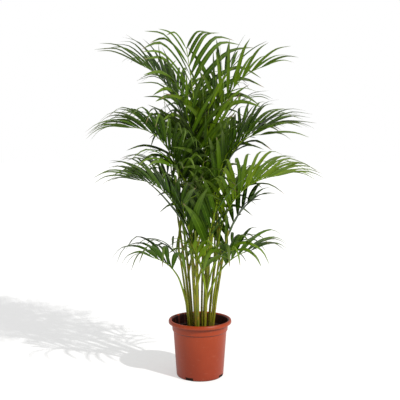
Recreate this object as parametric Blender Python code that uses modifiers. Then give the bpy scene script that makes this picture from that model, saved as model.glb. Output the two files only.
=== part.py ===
"""Areca palm growing in a round plastic nursery pot, at its real size.

Metres, +Z up. The origin is the middle of the pot's flat underside and the
front of the plant faces -Y. A clump of canes stands in the potting soil. Each
frond is one grown leaf: a stalk, its rib and every leaflet on it.
"""

import math
import random

import bmesh
import bpy
from mathutils import Matrix, Vector
from mathutils.bvhtree import BVHTree

OBJECT_NAME = "potted_areca_palm"

# Pot: a 21 cm nursery pot with a folded lip, a collar and a tapered body.
POT_HEIGHT = 0.190
LIP_RADIUS = 0.105
LIP_DEPTH = 0.012
COLLAR_RADIUS = 0.0930
COLLAR_FOOT = 0.1530
BODY_RADIUS_TOP = 0.0885
BASE_RADIUS = 0.0780
WALL = 0.0020
FLOOR = 0.0025
POT_STEPS = 40
NOTCH_COUNT = 4
NOTCH_WIDTH = 0.028
NOTCH_HEIGHT = 0.010
NOTCH_TURN = math.radians(-27.0)

# Soil: fills the pot to a little below the collar.
SOIL_EDGE = 0.1540
SOIL_CROWN = 0.1590
GAP = 0.0003

# Canes: set on a sunflower spiral, each leaning out by its distance.
CANE_COUNT = 14
CANE_RING = 0.049
CANE_FIRST = 0.35
CANE_TURN = 0.9
CANE_STRAIGHT = 0.02
CANE_BURIED = 0.034
CANE_FOOT_RADIUS = 0.0050
CANE_TOP_RADIUS = 0.0037
CANE_LEAN = 0.125
CANE_SPREAD = 0.19
CANE_HEIGHTS = (0.60, 0.56, 0.58, 0.52, 0.55, 0.50, 0.53, 0.47, 0.51, 0.46, 0.49, 0.44, 0.50, 0.45)
GOLDEN_TURN = math.radians(137.508)

# Stalks: half their width, and where their bare part bends.
STALK_HALF_FOOT = 0.0036
STALK_HALF_TIP = 0.0011
STALK_POINTS = 48
BARE_MARKS = (0.0, 0.30, 0.65)

# A stalk whose way is blocked leaves its cane elsewhere or bows to a side.
SWAYS = (0.0, 0.008, -0.008, 0.016, -0.016, 0.026, -0.026, 0.038, -0.038)
DROPS = (0.0, -0.012, 0.012, -0.024)
CANES_TRIED = 5
CANE_SPARE = 0.004
STALK_SPARE = 0.0004
SKIN_STEP = 0.03
CANE_USE_COST = 0.018
SHOULDER_PULL = 0.45

# Leaflets: sizes, and the angles they leave the rib at from its first pair to its last.
LEAFLET_FOOT = 0.0075
LEAFLET_WIDTH = 0.0185
LEAFLET_KEEL = 0.0018
WIDTH_LOSS = 0.35
SLIM_BELOW = 0.13
LONGEST_AT = 0.35
LAST_SIZE = 0.62
SHORT_ENDED = {"frond_top_front": 0.34}
UPRIGHT = 0.62
UPRIGHT_FRONDS = (
    "frond_top_centre",
    "frond_top_left_front",
    "frond_mid_front",
    "frond_mid_side_front",
    "frond_mid_inner_left",
    "frond_low_left_front",
    "frond_low_right_front",
)
FORWARD_FOOT = math.radians(54.0)
FORWARD_TIP = math.radians(28.0)
LIFT_FOOT = math.radians(36.0)
LIFT_TIP = math.radians(20.0)
BLADE_TWIST = 0.30

# How much one leaflet differs from the next.
SIZE_PLAY = (0.92, 1.06)
TURN_PLAY = (-0.07, 0.07)
HANG_PLAY = (0.80, 1.25)

# A leaflet whose way is blocked swings up or down, then turns, then grows smaller.
CLEAR = 0.0018
FOOT_SKIP = 0.14
FOOT_REACH = 0.0028
ATTEMPTS = 34
SWING = 0.085
SWINGS = 7
TURN_FROM = 5
TURN_SHARE = 0.3
SHRINK_FROM = 12
SHRINK = 0.035
NARROWED = 0.8
LIFT_LEAST = -0.1
LIFT_MOST = math.radians(48.0)

# Spears: their radius at the foot, how much of it goes by the tip, and their bows.
SPEAR_RADIUS = 0.0032
SPEAR_TAPER = 0.86
SPEAR_STEPS = 7
SPEAR_SWAYS = (0.0, 0.006, -0.006, 0.012, -0.012, 0.020, -0.020)

# Each frond: its name, how high it leaves its cane, where its stalk passes
# halfway (its shoulder), where its rib ends, its pairs of leaflets, the longest
# leaflet, the bare share of the stalk and how much the leaflets hang.
FRONDS = (
    ("frond_top_front", 0.47, (-0.010, 0.055, 0.800), (-0.047, 0.115, 1.095), 11, 0.280, 0.50, 0.80),
    ("frond_top_left", 0.48, (-0.055, 0.055, 0.860), (-0.205, 0.105, 1.035), 10, 0.255, 0.46, 0.62),
    ("frond_top_right", 0.46, (0.060, -0.010, 0.850), (0.200, -0.025, 1.015), 10, 0.230, 0.46, 0.45),
    ("frond_top_right_back", 0.49, (0.035, 0.060, 0.860), (0.110, 0.110, 1.030), 9, 0.230, 0.48, 0.25),
    ("frond_top_left_back", 0.50, (-0.030, 0.100, 0.830), (-0.095, 0.210, 0.985), 8, 0.220, 0.46, 0.80),
    ("frond_top_back", 0.50, (0.010, 0.110, 0.830), (0.035, 0.250, 0.950), 8, 0.220, 0.46, 0.90),
    ("frond_top_side_back", 0.47, (0.060, 0.090, 0.780), (0.140, 0.200, 0.915), 8, 0.210, 0.46, 0.70),
    ("frond_top_centre", 0.45, (0.022, -0.055, 0.765), (0.034, -0.105, 0.920), 7, 0.215, 0.47, 0.40),
    ("frond_top_left_front", 0.45, (-0.026, -0.060, 0.735), (-0.044, -0.110, 0.875), 7, 0.215, 0.45, 0.42),
    ("frond_mid_left", 0.42, (-0.090, -0.045, 0.730), (-0.232, -0.070, 0.822), 10, 0.265, 0.46, 1.00),
    ("frond_mid_right", 0.42, (0.095, 0.000, 0.715), (0.225, 0.010, 0.822), 10, 0.265, 0.46, 0.60),
    ("frond_mid_right_front", 0.40, (0.085, -0.045, 0.705), (0.195, -0.080, 0.800), 9, 0.250, 0.45, 0.60),
    ("frond_mid_left_back", 0.43, (-0.065, 0.070, 0.720), (-0.175, 0.160, 0.835), 9, 0.230, 0.45, 0.80),
    ("frond_mid_right_back", 0.42, (0.065, 0.080, 0.700), (0.165, 0.170, 0.805), 9, 0.230, 0.45, 0.80),
    ("frond_mid_back", 0.43, (-0.010, 0.110, 0.700), (-0.030, 0.250, 0.790), 8, 0.220, 0.45, 0.90),
    ("frond_mid_left_front", 0.39, (-0.040, -0.080, 0.630), (-0.085, -0.185, 0.705), 8, 0.200, 0.44, 0.85),
    ("frond_mid_front", 0.38, (0.008, -0.080, 0.640), (0.022, -0.130, 0.760), 6, 0.225, 0.44, 0.35),
    ("frond_mid_side_front", 0.39, (0.050, -0.075, 0.635), (0.086, -0.130, 0.745), 6, 0.225, 0.44, 0.38),
    ("frond_mid_inner_left", 0.45, (-0.050, 0.000, 0.690), (-0.082, -0.010, 0.800), 6, 0.185, 0.47, 0.45),
    ("frond_low_right", 0.36, (0.105, -0.060, 0.585), (0.250, -0.090, 0.672), 10, 0.260, 0.44, 0.75),
    ("frond_low_left", 0.36, (-0.085, -0.060, 0.580), (-0.202, -0.085, 0.658), 9, 0.250, 0.44, 0.72),
    ("frond_low_left_mid", 0.37, (-0.080, 0.020, 0.570), (-0.180, 0.030, 0.660), 8, 0.200, 0.44, 0.80),
    ("frond_low_right_mid", 0.31, (0.095, 0.030, 0.470), (0.165, 0.050, 0.575), 7, 0.190, 0.44, 0.55),
    ("frond_low_left_back", 0.38, (-0.062, 0.080, 0.590), (-0.155, 0.170, 0.695), 8, 0.215, 0.44, 0.85),
    ("frond_low_right_back", 0.36, (0.070, 0.080, 0.550), (0.165, 0.165, 0.655), 8, 0.215, 0.44, 0.85),
    ("frond_low_back", 0.35, (0.012, 0.110, 0.540), (0.016, 0.240, 0.620), 8, 0.205, 0.44, 0.95),
    ("frond_low_left_front", 0.33, (-0.038, -0.080, 0.505), (-0.058, -0.130, 0.600), 6, 0.210, 0.44, 0.38),
    ("frond_low_right_front", 0.33, (0.032, -0.085, 0.495), (0.052, -0.135, 0.585), 6, 0.210, 0.44, 0.38),
    ("frond_base_left", 0.27, (-0.085, -0.055, 0.362), (-0.154, -0.080, 0.410), 5, 0.240, 0.58, 1.45),
    ("frond_base_right", 0.27, (0.082, -0.045, 0.378), (0.172, -0.060, 0.432), 5, 0.230, 0.55, 0.85),
    ("frond_base_right_back", 0.28, (0.070, 0.080, 0.365), (0.115, 0.140, 0.425), 4, 0.190, 0.52, 1.10),
    ("frond_base_left_back", 0.28, (-0.060, 0.075, 0.360), (-0.100, 0.145, 0.410), 4, 0.190, 0.52, 1.10),
    ("frond_base_front", 0.29, (-0.012, -0.090, 0.385), (-0.020, -0.140, 0.450), 5, 0.135, 0.50, 0.90),
    ("frond_base_side_front", 0.30, (0.055, -0.085, 0.405), (0.105, -0.145, 0.442), 4, 0.200, 0.52, 1.60),
)

# Spears: the unopened leaves, each standing on the top of a cane.
SPEARS = (
    ("spear_left", (-0.119, 0.010, 0.955)),
    ("spear_right", (0.064, 0.020, 1.090)),
    ("spear_centre", (0.005, 0.015, 1.020)),
    ("spear_back", (-0.030, 0.080, 0.900)),
)


def clear_scene():
    for old in list(bpy.data.objects):
        bpy.data.objects.remove(old, do_unlink=True)


def new_collection(name):
    group = bpy.data.collections.new(name)
    bpy.context.scene.collection.children.link(group)
    return group


def new_material(name, colour, roughness):
    material = bpy.data.materials.new(name)
    material.use_nodes = True
    shader = material.node_tree.nodes["Principled BSDF"]
    shader.inputs["Base Color"].default_value = (*colour, 1.0)
    shader.inputs["Roughness"].default_value = roughness
    shader.inputs["Metallic"].default_value = 0.0
    return material


def pot_material():
    return new_material("terracotta_plastic", (0.37, 0.070, 0.033), 0.5)


def soil_material():
    return new_material("potting_soil", (0.030, 0.014, 0.008), 0.95)


def cane_material():
    return new_material("cane", (0.20, 0.21, 0.06), 0.5)


def frond_material():
    return new_material("palm_leaf", (0.045, 0.12, 0.022), 0.45)


def spear_material():
    return new_material("young_leaf", (0.14, 0.24, 0.05), 0.45)


def turned(name, outline, group, material):
    """Turn an outline of (radius, height) points round the Z axis."""
    mesh = bpy.data.meshes.new(name)
    spots = [(radius, 0.0, height) for radius, height in outline]
    mesh.from_pydata(spots, [(i, i + 1) for i in range(len(spots) - 1)], [])
    mesh.materials.append(material)
    turned_object = bpy.data.objects.new(name, mesh)
    group.objects.link(turned_object)
    screw = turned_object.modifiers.new("turn", "SCREW")
    screw.steps = POT_STEPS
    screw.render_steps = POT_STEPS
    screw.use_merge_vertices = True
    screw.merge_threshold = 0.00005
    screw.use_smooth_shade = True
    return turned_object


def hide_cutter(cutter):
    cutter.hide_render = True
    cutter.display_type = "WIRE"


def cut(target, cutter):
    boolean = target.modifiers.new("cut " + cutter.name, "BOOLEAN")
    boolean.operation = "DIFFERENCE"
    boolean.solver = "EXACT"
    boolean.object = cutter


def body_radius(height):
    """Outer radius of the tapered body at a height."""
    return BASE_RADIUS + (BODY_RADIUS_TOP - BASE_RADIUS) * height / COLLAR_FOOT


def pot_outline():
    """Inner floor, up the inside, over the folded lip and down the outside."""
    lip_foot = POT_HEIGHT - LIP_DEPTH
    collar_inside = COLLAR_RADIUS - WALL
    return (
        (0.0, FLOOR),
        (body_radius(FLOOR) - WALL - 0.003, FLOOR),
        (body_radius(FLOOR) - WALL, FLOOR + 0.003),
        (body_radius(COLLAR_FOOT) - WALL, COLLAR_FOOT - 0.002),
        (collar_inside - 0.0010, COLLAR_FOOT + 0.0015),
        (collar_inside + 0.0015, POT_HEIGHT - 0.006),
        (collar_inside + 0.0040, POT_HEIGHT - 0.0010),
        (collar_inside + 0.0070, POT_HEIGHT),
        (LIP_RADIUS - 0.0030, POT_HEIGHT - 0.0012),
        (LIP_RADIUS - 0.0004, POT_HEIGHT - 0.0045),
        (LIP_RADIUS, POT_HEIGHT - 0.0080),
        (LIP_RADIUS - 0.0008, lip_foot),
        (LIP_RADIUS - 0.0028, lip_foot + 0.0004),
        (LIP_RADIUS - 0.0040, lip_foot + 0.0060),
        (COLLAR_RADIUS + 0.0022, lip_foot + 0.0055),
        (COLLAR_RADIUS + 0.0006, lip_foot - 0.0010),
        (COLLAR_RADIUS - 0.0012, COLLAR_FOOT + 0.0015),
        (BODY_RADIUS_TOP + 0.0004, COLLAR_FOOT - 0.0012),
        (body_radius(0.004), 0.004),
        (BASE_RADIUS - 0.0022, 0.0),
        (0.0, 0.0),
    )


def notch_cutter(index, group):
    """One block that opens a drain notch where the wall meets the floor."""
    turn = NOTCH_TURN + index * math.tau / NOTCH_COUNT
    mesh = bpy.data.meshes.new("notch_cutter")
    shape = bmesh.new()
    bmesh.ops.create_cube(shape, size=1.0)
    size = Matrix.Diagonal((0.030, NOTCH_WIDTH, NOTCH_HEIGHT + 0.010, 1.0))
    bmesh.ops.transform(shape, matrix=size, verts=shape.verts)
    shape.to_mesh(mesh)
    shape.free()
    cutter = bpy.data.objects.new("notch_cutter_%d" % (index + 1), mesh)
    reach = BASE_RADIUS + 0.0045
    height = NOTCH_HEIGHT / 2 - 0.005
    cutter.location = (reach * math.cos(turn), reach * math.sin(turn), height)
    cutter.rotation_euler = (0.0, 0.0, turn)
    hide_cutter(cutter)
    group.objects.link(cutter)
    return cutter


def make_pot(parts, cutters):
    pot = turned("pot", pot_outline(), parts, pot_material())
    for index in range(NOTCH_COUNT):
        cut(pot, notch_cutter(index, cutters))
    return pot


def cane_foot(index):
    """Where a cane leaves the soil, on the sunflower spiral."""
    reach = CANE_RING * math.sqrt((index + CANE_FIRST) / CANE_COUNT)
    turn = GOLDEN_TURN * index + CANE_TURN
    return Vector((reach * math.cos(turn), reach * math.sin(turn), 0.0))


def cane_axis(index, height):
    """Middle of a cane at a height: straight in the soil, then bowing out."""
    foot = cane_foot(index)
    rise = height - SOIL_EDGE
    bow_out = CANE_SPREAD * max(0.0, rise - CANE_STRAIGHT) ** 2
    out = foot / CANE_RING * (CANE_LEAN * rise + bow_out)
    spot = foot + out
    spot.z = height
    return spot


def cane_radius(index, height):
    share = (height - SOIL_EDGE) / (CANE_HEIGHTS[index] - SOIL_EDGE)
    return CANE_FOOT_RADIUS + (CANE_TOP_RADIUS - CANE_FOOT_RADIUS) * max(0.0, share)


def tube(name, spots, radii, group, material):
    """A tapered round tube along the spots, as a curve with filled caps."""
    curve = bpy.data.curves.new(name, "CURVE")
    curve.dimensions = "3D"
    curve.bevel_depth = 1.0
    curve.bevel_resolution = 2
    curve.use_fill_caps = True
    spline = curve.splines.new("POLY")
    spline.points.add(len(spots) - 1)
    for point, spot, radius in zip(spline.points, spots, radii):
        point.co = (*spot, 1.0)
        point.radius = radius
    curve.materials.append(material)
    result = bpy.data.objects.new(name, curve)
    group.objects.link(result)
    return result


def cane_heights(index):
    """Heights of a cane's bends, from its buried foot to its top."""
    top = CANE_HEIGHTS[index]
    start = SOIL_EDGE + CANE_STRAIGHT
    bends = [SOIL_EDGE - CANE_BURIED]
    bends += [start + (top - start) * step / 4 for step in range(5)]
    return bends


def make_cane(index, group, material):
    heights = cane_heights(index)
    spots = [cane_axis(index, height) for height in heights]
    radii = [cane_radius(index, height) for height in heights]
    return tube("cane_%02d" % (index + 1), spots, radii, group, material)


def socket_cutter(index, group):
    """The straight hole in the soil that a cane stands in, a gap wider than it."""
    low = cane_axis(index, SOIL_EDGE - CANE_BURIED)
    high = cane_axis(index, SOIL_EDGE + CANE_STRAIGHT)
    lean = (high - low).normalized()
    low = low - lean * 0.0006
    high = high - lean * 0.002
    radius = (CANE_FOOT_RADIUS + GAP) / math.cos(math.pi / 12)
    mesh = bpy.data.meshes.new("socket_cutter")
    shape = bmesh.new()
    bmesh.ops.create_cone(
        shape,
        cap_ends=True,
        segments=12,
        radius1=radius,
        radius2=radius,
        depth=(high - low).length,
    )
    shape.to_mesh(mesh)
    shape.free()
    cutter = bpy.data.objects.new("socket_cutter_%02d" % (index + 1), mesh)
    cutter.location = (low + high) / 2
    cutter.rotation_euler = lean.to_track_quat("Z", "Y").to_euler()
    hide_cutter(cutter)
    group.objects.link(cutter)
    return cutter


def soil_outline():
    inside = WALL + GAP
    return (
        (0.0, SOIL_CROWN),
        (0.035, SOIL_CROWN - 0.0008),
        (0.065, SOIL_EDGE + 0.0015),
        (body_radius(COLLAR_FOOT) - inside - 0.0012, SOIL_EDGE - 0.003),
        (body_radius(COLLAR_FOOT) - inside - 0.0004, SOIL_EDGE - 0.006),
        (body_radius(0.006) - inside - 0.0004, 0.0065),
        (body_radius(0.003) - inside - 0.0036, FLOOR + GAP),
        (0.0, FLOOR + GAP),
    )


def make_soil(parts, cutters):
    soil = turned("soil", soil_outline(), parts, soil_material())
    for index in range(CANE_COUNT):
        cut(soil, socket_cutter(index, cutters))
    return soil


class Neighbours:
    """The surfaces already placed, which a new stalk or leaflet keeps clear of."""

    def __init__(self):
        self.skins = {}
        self.tree = None

    def add(self, name, spots, faces):
        self.skins[name] = (spots, faces)
        self.tree = None

    def add_object(self, item):
        graph = bpy.context.evaluated_depsgraph_get()
        solid = item.evaluated_get(graph)
        mesh = solid.to_mesh()
        spots = [item.matrix_world @ vert.co for vert in mesh.vertices]
        self.add(item.name, spots, [tuple(face.vertices) for face in mesh.polygons])
        solid.to_mesh_clear()

    def gather(self, leave_out=""):
        """One search tree over every skin but the one left out."""
        spots = []
        faces = []
        for name, (own_spots, own_faces) in self.skins.items():
            if name == leave_out:
                continue
            start = len(spots)
            spots += own_spots
            faces += [tuple(start + i for i in face) for face in own_faces]
        self.tree = BVHTree.FromPolygons(spots, faces)

    def touches(self, spots, faces):
        if not self.skins:
            return False
        if self.tree is None:
            self.gather()
        return bool(self.tree.overlap(BVHTree.FromPolygons(spots, faces)))


def bow(foot, bend, tip, steps):
    """Points along the smooth curve from foot to tip that leans towards the bend."""
    spots = []
    for step in range(steps + 1):
        t = step / steps
        spots.append(foot * (1 - t) ** 2 + bend * 2 * t * (1 - t) + tip * t * t)
    return spots


def sleeve(rings):
    """Spots and faces of a closed skin over rings of four corners each."""
    spots = [corner for ring in rings for corner in ring]
    faces = []
    for step in range(len(rings) - 1):
        for side in range(4):
            turn = (side + 1) % 4
            low = 4 * step
            high = low + 4
            faces.append((low + side, low + turn, high + turn, high + side))
    return spots, faces


class Stalk:
    """The curve of a frond's stalk and rib, read by the distance along it."""

    def __init__(self, foot, shoulder, tip):
        bend = shoulder * 2 - (foot + tip) / 2
        self.spots = bow(foot, bend, tip, STALK_POINTS)
        self.marks = [0.0]
        for before, after in zip(self.spots, self.spots[1:]):
            self.marks.append(self.marks[-1] + (after - before).length)
        self.length = self.marks[-1]
        heading = Vector((tip.x - foot.x, tip.y - foot.y, 0.0)).normalized()
        self.side = Vector((-heading.y, heading.x, 0.0))

    def at(self, distance):
        distance = min(max(distance, 0.0), self.length)
        step = 0
        while step < len(self.marks) - 2 and self.marks[step + 1] < distance:
            step += 1
        span = self.marks[step + 1] - self.marks[step]
        return self.spots[step].lerp(self.spots[step + 1], (distance - self.marks[step]) / span)

    def frame(self, distance):
        """Point, direction, left side and upper side at a distance."""
        spot = self.at(distance)
        along = (self.at(distance + 0.004) - self.at(distance - 0.004)).normalized()
        side = (self.side - along * self.side.dot(along)).normalized()
        return spot, along, side, along.cross(side)

    def half_width(self, distance):
        return STALK_HALF_FOOT + (STALK_HALF_TIP - STALK_HALF_FOOT) * distance / self.length

    def ring(self, distance):
        """Left edge, right edge and keel of the stalk's three-cornered section."""
        spot, _, side, up = self.frame(distance)
        half = self.half_width(distance)
        top = spot + up * half * 0.6
        return top + side * half, top - side * half, spot - up * half * 0.9

    def skin(self, spare):
        """A four-sided skin round the stalk, wider than it by the spare."""
        rings = []
        steps = max(2, int(self.length / SKIN_STEP))
        for step in range(steps + 1):
            distance = self.length * step / steps
            spot, _, side, up = self.frame(distance)
            reach = self.half_width(distance) + spare
            rings.append((
                spot + side * reach + up * reach,
                spot - side * reach + up * reach,
                spot - side * reach - up * reach,
                spot + side * reach - up * reach,
            ))
        return sleeve(rings)


def frond_foot(index, height, target):
    """Where a stalk starts: beside its cane, a gap away, on the side it grows to."""
    axis = cane_axis(index, height)
    out = Vector((target.x - axis.x, target.y - axis.y, 0.0)).normalized()
    return axis + out * (cane_radius(index, height) + GAP + STALK_HALF_FOOT * 1.25)


def cane_choices(height, shoulder, used):
    """Canes tall enough for a frond, the nearest and least used first."""
    def cost(index):
        axis = cane_axis(index, height)
        aside = Vector((shoulder.x * SHOULDER_PULL - axis.x, shoulder.y * SHOULDER_PULL - axis.y))
        return aside.length + CANE_USE_COST * used[index]

    tall = [index for index in range(CANE_COUNT) if CANE_HEIGHTS[index] > height + CANE_SPARE]
    return sorted(tall, key=cost)[:CANES_TRIED]


def stalk_choices(height, shoulder, tip, used):
    """Every way a stalk may take, the most wanted first, with the cane it leaves."""
    for sway in SWAYS:
        for drop in DROPS:
            for index in cane_choices(height + drop, shoulder, used):
                foot = frond_foot(index, height + drop, tip)
                across = Vector((foot.y - tip.y, tip.x - foot.x, 0.0)).normalized()
                yield index, Stalk(foot, shoulder + across * sway, tip)


def place_stalk(frond, used, neighbours):
    """The first way from a cane to the frond's tip that clears all others."""
    name, height, shoulder, tip = frond[0], frond[1], Vector(frond[2]), Vector(frond[3])
    for index, stalk in stalk_choices(height, shoulder, tip, used):
        if not neighbours.touches(*stalk.skin(0.0)):
            used[index] += 1
            neighbours.add(name, *stalk.skin(STALK_SPARE))
            return stalk
    print("no clear way found for", name)
    return None


def triangles(corners):
    """A face as triangles, a four-sided one split both ways."""
    if len(corners) == 3:
        return [tuple(corners)]
    one, two, three, four = corners
    return [(one, two, three), (one, three, four), (one, two, four), (two, three, four)]


class Leaflet:
    """One leaflet: it leaves the rib, is widest at a third and hangs to a fine tip."""

    BENDS = ((0.36, 0.0, 1.0), (0.34, 0.45, 0.74), (0.30, 1.1, 0.0))

    def __init__(self, stalk, distance, left, length, width, forward, lift, hang):
        spot, along, side, up = stalk.frame(distance)
        if not left:
            side = -side
        out = side * math.cos(lift) + up * math.sin(lift)
        first = (along * math.cos(forward) + out * math.sin(forward)).normalized()
        across = (along - first * along.dot(first)).normalized()
        under = first.cross(across).normalized()
        if under.dot(up) > 0:
            under = -under
        across = (across * math.cos(BLADE_TWIST) + under * math.sin(BLADE_TWIST)).normalized()
        self.foot = spot
        self.sections = []
        here = spot
        for share, fall, broad in self.BENDS:
            heading = first + Vector((0.0, 0.0, -hang * fall))
            here = here + heading.normalized() * length * share
            flat = (across - heading * across.dot(heading) / heading.length_squared).normalized()
            below = heading.cross(flat).normalized()
            if below.dot(under) < 0:
                below = -below
            self.sections.append((here, flat, below, width / 2 * broad))

    def corners(self, section):
        """Near edge, far edge and keel of one section."""
        here, flat, below, half = section
        return here - flat * half, here + flat * half, here + below * LEAFLET_KEEL

    def solid(self, quad):
        """Spots and triangles of the leaflet grown from the quad of its foot."""
        spots = list(quad)
        for section in self.sections[:-1]:
            spots += self.corners(section)
        spots.append(self.sections[-1][0])
        sides = [(0, 1, 5, 4), (1, 2, 6, 5), (3, 0, 4, 6), (2, 3, 6)]
        sides += [(4, 5, 8, 7), (5, 6, 9, 8), (6, 4, 7, 9), (7, 8, 10), (8, 9, 10), (9, 7, 10)]
        faces = []
        for side in sides:
            faces += triangles(side)
        return spots, faces

    def skin(self, begin):
        """A slightly thicker copy, to find what the leaflet would touch."""
        middle, flat, below, _ = self.sections[0]
        rings = []
        start = (self.foot.lerp(middle, begin), flat, below, FOOT_REACH)
        for here, flat, below, half in (start, *self.sections):
            reach = half + CLEAR
            low = CLEAR + (LEAFLET_KEEL if half > 0 else 0.0)
            rings.append((
                here - flat * reach,
                here - below * CLEAR,
                here + flat * reach,
                here + below * low,
            ))
        return sleeve(rings)


def grow_stalk(stalk, marks):
    """Extrude a three-cornered face along the stalk, one ring at each mark."""
    shape = bmesh.new()
    ring = [shape.verts.new(spot) for spot in stalk.ring(marks[0])]
    face = shape.faces.new(ring)
    rings = [ring]
    for mark in marks[1:]:
        made = bmesh.ops.extrude_face_region(shape, geom=[face])["geom"]
        if len(rings) > 1:
            bmesh.ops.delete(shape, geom=[face], context="FACES_ONLY")
        face = next(item for item in made if isinstance(item, bmesh.types.BMFace))
        before = [vert.co.copy() for vert in rings[-1]]
        ring = [min(face.verts, key=lambda vert: (vert.co - spot).length) for spot in before]
        for vert, spot in zip(ring, stalk.ring(mark)):
            vert.co = spot
        rings.append(ring)
    return shape, rings


def crosses(shape, quad, leaflet):
    """Whether the leaflet grown from this quad would cut the shape it grows on."""
    spots, faces = leaflet.solid([vert.co for vert in quad])
    shape.verts.index_update()
    shape_spots = [vert.co.copy() for vert in shape.verts]
    shape_faces = []
    for face in shape.faces:
        if not set(face.verts) & set(quad):
            shape_faces += triangles([vert.index for vert in face.verts])
    tree = BVHTree.FromPolygons(shape_spots, shape_faces)
    return bool(tree.overlap(BVHTree.FromPolygons(spots, faces)))


def extruded_side(shape, side, targets):
    """Push a side face of the rib out, each of its corners to its own target."""
    order = list(side.verts)
    face = bmesh.ops.extrude_discrete_faces(shape, faces=[side])["faces"][0]
    moved = {}
    for before, after in zip(order, face.verts):
        after.co = targets[before]
        moved[before] = after
    return moved


def grow_leaflet(shape, side, quad, leaflet):
    """Extrude one side face of the rib through the leaflet's bends to its tip."""
    near, far, keel = leaflet.corners(leaflet.sections[0])
    moved = extruded_side(shape, side, {quad[0]: near, quad[1]: far, quad[2]: keel, quad[3]: keel})
    keel_verts = [moved[quad[2]], moved[quad[3]]]
    bmesh.ops.pointmerge(shape, verts=keel_verts, merge_co=keel)
    ends = [face for face in moved[quad[0]].link_faces if moved[quad[1]] in face.verts]
    face = next(end for end in ends if len(end.verts) == 3)
    spots = (near, far, keel)
    for section in leaflet.sections[1:]:
        corners = leaflet.corners(section)
        order = [min(range(3), key=lambda k: (vert.co - spots[k]).length) for vert in face.verts]
        face = bmesh.ops.extrude_discrete_faces(shape, faces=[face])["faces"][0]
        for which, vert in zip(order, face.verts):
            vert.co = corners[which]
        spots = corners
    bmesh.ops.pointmerge(shape, verts=list(face.verts), merge_co=leaflet.sections[-1][0])


class Frond:
    """One frond as it grows: its stalk first, then leaflet after leaflet."""

    def __init__(self, row, stalk, seed, neighbours):
        self.name, _, _, _, self.pairs, self.longest, bare, self.hang = row
        self.stalk = stalk
        self.dice = random.Random(seed)
        self.neighbours = neighbours
        self.own = Neighbours()
        first = stalk.length * bare
        gap = (stalk.length - first - LEAFLET_FOOT) / (self.pairs - 1)
        self.places = [first + gap * step for step in range(self.pairs)]
        marks = [first * share for share in BARE_MARKS]
        for place in self.places:
            marks += [place - LEAFLET_FOOT / 2, place + LEAFLET_FOOT / 2]
        self.shape, self.rings = grow_stalk(stalk, marks)

    def wanted(self, step):
        """Length, width, forward angle, lift and hang of a leaflet with room to spare."""
        share = step / (self.pairs - 1)
        loss = (1 - SHORT_ENDED.get(self.name, LAST_SIZE)) / (1 - LONGEST_AT) ** 2
        size = self.longest * (1 - loss * (share - LONGEST_AT) ** 2) * self.dice.uniform(*SIZE_PLAY)
        width = LEAFLET_WIDTH * (1 - WIDTH_LOSS * share) * min(1.0, self.longest / SLIM_BELOW)
        forward = FORWARD_FOOT + (FORWARD_TIP - FORWARD_FOOT) * share
        forward *= UPRIGHT if self.name in UPRIGHT_FRONDS else 1.0
        forward += self.dice.uniform(*TURN_PLAY)
        lift = LIFT_FOOT + (LIFT_TIP - LIFT_FOOT) * share
        return size, width, forward, lift, self.hang * self.dice.uniform(*HANG_PLAY)

    def choices(self, step, left):
        """The leaflet as wanted, then swung up and down, turned, and grown smaller."""
        size, width, forward, lift, hang = self.wanted(step)
        for attempt in range(ATTEMPTS):
            swing = (attempt + 1) // 2 % SWINGS * (SWING if attempt % 2 else -SWING)
            tilt = min(max(lift + swing, LIFT_LEAST), LIFT_MOST)
            turn = forward + (abs(swing) * TURN_SHARE if attempt >= TURN_FROM else 0.0)
            late = max(0, attempt - SHRINK_FROM)
            short = size * (1.0 - SHRINK * late)
            slim = width * (NARROWED if late else 1.0)
            yield Leaflet(self.stalk, self.places[step], left, short, slim, turn, tilt, hang)

    def clear(self, quad, leaflet):
        """Whether a leaflet would touch neither another frond nor its own."""
        if self.neighbours.touches(*leaflet.skin(0.0)):
            return False
        if self.own.touches(*leaflet.skin(FOOT_SKIP)):
            return False
        return not crosses(self.shape, quad, leaflet)

    def add_leaflet(self, step, left):
        """Grow the first choice that is clear, and say whether there was one."""
        low, high = self.rings[3 + 2 * step], self.rings[4 + 2 * step]
        edge = 0 if left else 1
        quad = [low[edge], high[edge], high[2], low[2]]
        for leaflet in self.choices(step, left):
            if self.clear(quad, leaflet):
                side = next(face for face in self.shape.faces if set(face.verts) == set(quad))
                grow_leaflet(self.shape, side, quad, leaflet)
                self.own.add((step, left), *leaflet.skin(FOOT_SKIP))
                return True
        return False

    def finish(self, group, material):
        """The closed mesh, in its collection, with its faces turned outwards."""
        bmesh.ops.triangulate(self.shape, faces=self.shape.faces)
        bmesh.ops.recalc_face_normals(self.shape, faces=self.shape.faces)
        mesh = bpy.data.meshes.new(self.name)
        self.shape.to_mesh(mesh)
        self.shape.free()
        mesh.materials.append(material)
        result = bpy.data.objects.new(self.name, mesh)
        group.objects.link(result)
        return result


def make_frond(row, stalk, seed, neighbours, group, material):
    """A frond: its stalk, and every leaflet that finds a clear way to grow."""
    frond = Frond(row, stalk, seed, neighbours)
    neighbours.gather(leave_out=frond.name)
    grown = 0
    for step in range(frond.pairs):
        for left in (True, False):
            grown += frond.add_leaflet(step, left)
    print(frond.name, "has", grown, "of", 2 * frond.pairs, "leaflets")
    neighbours.add_object(frond.finish(group, material))


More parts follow.
